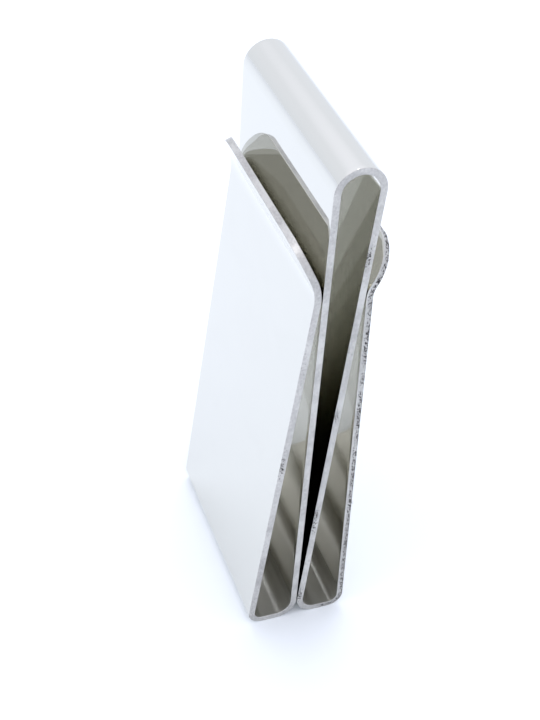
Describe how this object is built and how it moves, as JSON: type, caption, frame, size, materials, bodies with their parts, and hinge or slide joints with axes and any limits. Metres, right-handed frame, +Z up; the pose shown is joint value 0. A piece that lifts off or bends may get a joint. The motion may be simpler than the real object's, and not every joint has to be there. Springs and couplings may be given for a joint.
{
  "type": "money clip",
  "caption": "Double-sided pocket money clip folded from one polished spring steel strip, with a sprung leaf and a flared lip on each side.",
  "frame": {"origin": "on the surface the clip stands on, under the middle of the clip", "axes": "+X across the strip's width, +Y through the clip from the front leaf to the rear leaf, +Z up from the feet to the crown"},
  "size_m": [0.0218, 0.0102, 0.054],
  "materials": {
    "polished_steel": "mirror-polished stainless spring steel with sheared, lightly burred edges"
  },
  "bodies": {
    "front_half": {"crown_bend": "polished_steel", "front_wall": "polished_steel", "front_inner_bend": "polished_steel", "front_foot": "polished_steel", "front_outer_bend": "polished_steel"},
    "rear_half": {"rear_wall": "polished_steel", "rear_inner_bend": "polished_steel", "rear_foot": "polished_steel", "rear_outer_bend": "polished_steel"},
    "front_leaf": {"front_leaf": "polished_steel", "front_grip_bend": "polished_steel", "front_lip": "polished_steel"},
    "rear_leaf": {"rear_leaf": "polished_steel", "rear_grip_bend": "polished_steel", "rear_lip": "polished_steel"}
  },
  "joints": [
    {"name": "crown_spread", "type": "hinge", "parent": "front_half", "child": "rear_half", "pos_m": [0, 0.00233, 0.05159], "axis": [1, 0, 0], "range_deg": [0, 6], "stiffness_Nm_per_rad": 3, "springref_deg": -0.29},
    {"name": "front_leaf_flex", "type": "hinge", "parent": "front_half", "child": "front_leaf", "pos_m": [0, -0.00515, 0.00159], "axis": [1, 0, 0], "range_deg": [0, 8], "stiffness_Nm_per_rad": 8, "springref_deg": -1.15},
    {"name": "rear_leaf_flex", "type": "hinge", "parent": "rear_half", "child": "rear_leaf", "pos_m": [0, 0.00515, 0.00159], "axis": [-1, 0, 0], "range_deg": [0, 8], "stiffness_Nm_per_rad": 8, "springref_deg": -1.15}
  ]
}
